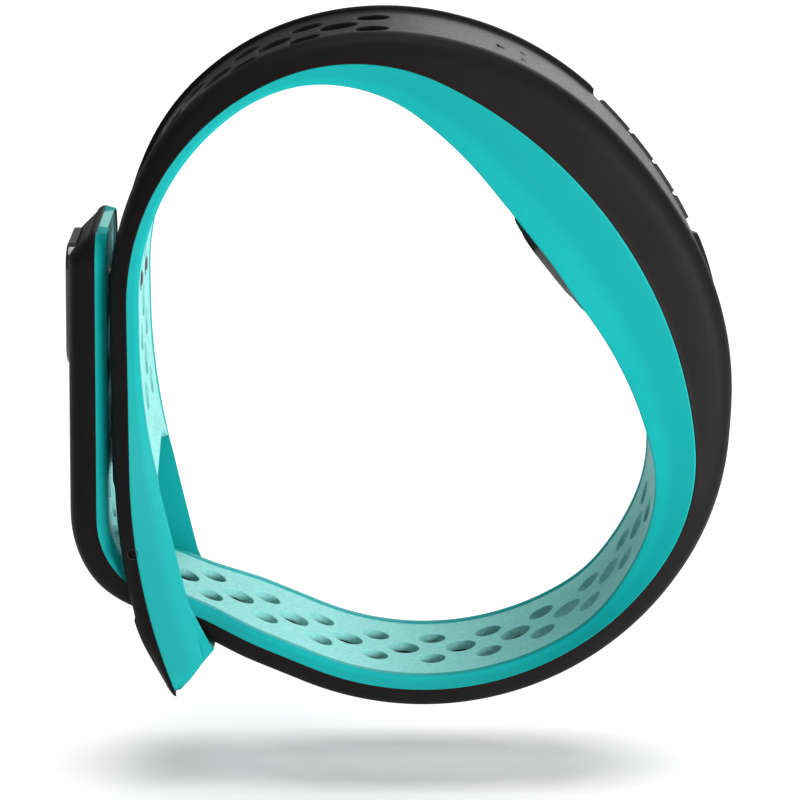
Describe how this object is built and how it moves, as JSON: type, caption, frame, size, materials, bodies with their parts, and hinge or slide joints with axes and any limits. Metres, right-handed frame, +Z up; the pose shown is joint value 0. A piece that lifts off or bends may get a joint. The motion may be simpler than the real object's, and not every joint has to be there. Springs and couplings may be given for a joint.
{
  "type": "fitness tracker band",
  "caption": "Wrist band with a two-colour perforated silicone loop, a sealed tracker core with a wrist sensor, and a fold-back tail held by a peg clasp.",
  "frame": {"origin": "wrist axis, at the middle of the closed loop and of the band's width", "axes": "+X towards the tracker core's side, +Y across the band towards the side button, +Z up as the closed loop stands"},
  "size_m": [0.0654, 0.02, 0.068],
  "materials": {
    "black_silicone": "matte",
    "teal_silicone": "matte",
    "gloss_black": "gloss",
    "black_plastic": "matte",
    "sensor_window": "gloss",
    "steel": "satin",
    "board_green": "satin",
    "chip_black": "matte",
    "battery_foil": "satin",
    "led": "gloss",
    "gold": "satin",
    "seal_rubber": "matte",
    "ribbon": "satin",
    "smoke_lens": "gloss"
  },
  "bodies": {
    "band": {"band_outer": "black_silicone", "band_inner": "teal_silicone", "loop_pin": "steel", "core_base": "black_plastic", "core_cover": "black_plastic", "core_seal": "seal_rubber", "battery": "battery_foil", "main_board": "board_green", "board_chips": "chip_black", "antenna": "led", "board_screws": "steel", "display_board": "board_green", "display_leds": "led", "light_mask": "black_plastic", "display_ribbon": "ribbon", "motor_can": "steel", "motor_bush": "gold", "sensor_base": "gloss_black", "sensor_window": "sensor_window", "sensor_board": "board_green", "sensor_leds": "led", "photodiode": "chip_black", "light_barrier": "black_plastic", "charging_contacts": "gold", "button_switches": "steel", "status_lens": "smoke_lens", "indicator_lenses": "smoke_lens"},
    "motor_rotor": {"motor_shaft": "steel", "motor_weight": "steel"},
    "button": {"side_button": "black_plastic"},
    "strap_fold": {"fold_outer": "black_silicone", "fold_inner": "teal_silicone"},
    "strap_tail": {"tail_outer": "black_silicone", "tail_inner": "teal_silicone", "clasp_plate": "gloss_black", "clasp_pegs": "black_plastic", "clasp_anchor": "black_plastic"}
  },
  "joints": [
    {"name": "strap_bend", "type": "hinge", "parent": "band", "child": "strap_fold", "pos_m": [-0.02816, 0, -0.02337], "axis": [0, -1, 0], "range_deg": [0, 40], "stiffness_Nm_per_rad": 0.02},
    {"name": "tail_bend", "type": "hinge", "parent": "strap_fold", "child": "strap_tail", "pos_m": [-0.0322, 0, -0.01476], "axis": [0, -1, 0], "range_deg": [0, 30], "stiffness_Nm_per_rad": 0.02},
    {"name": "button_press", "type": "slide", "parent": "band", "child": "button", "axis": [0, -1, 0], "range_m": [0, 0.0003], "stiffness_N_per_m": 300},
    {"name": "motor_spin", "type": "hinge", "parent": "band", "child": "motor_rotor", "pos_m": [0.02264, 0, 0.00634], "axis": [0, 1, 0], "continuous": true}
  ],
  "couplings": [
    {"joint": "tail_bend", "follows": "strap_bend", "ratio": 0.75}
  ]
}
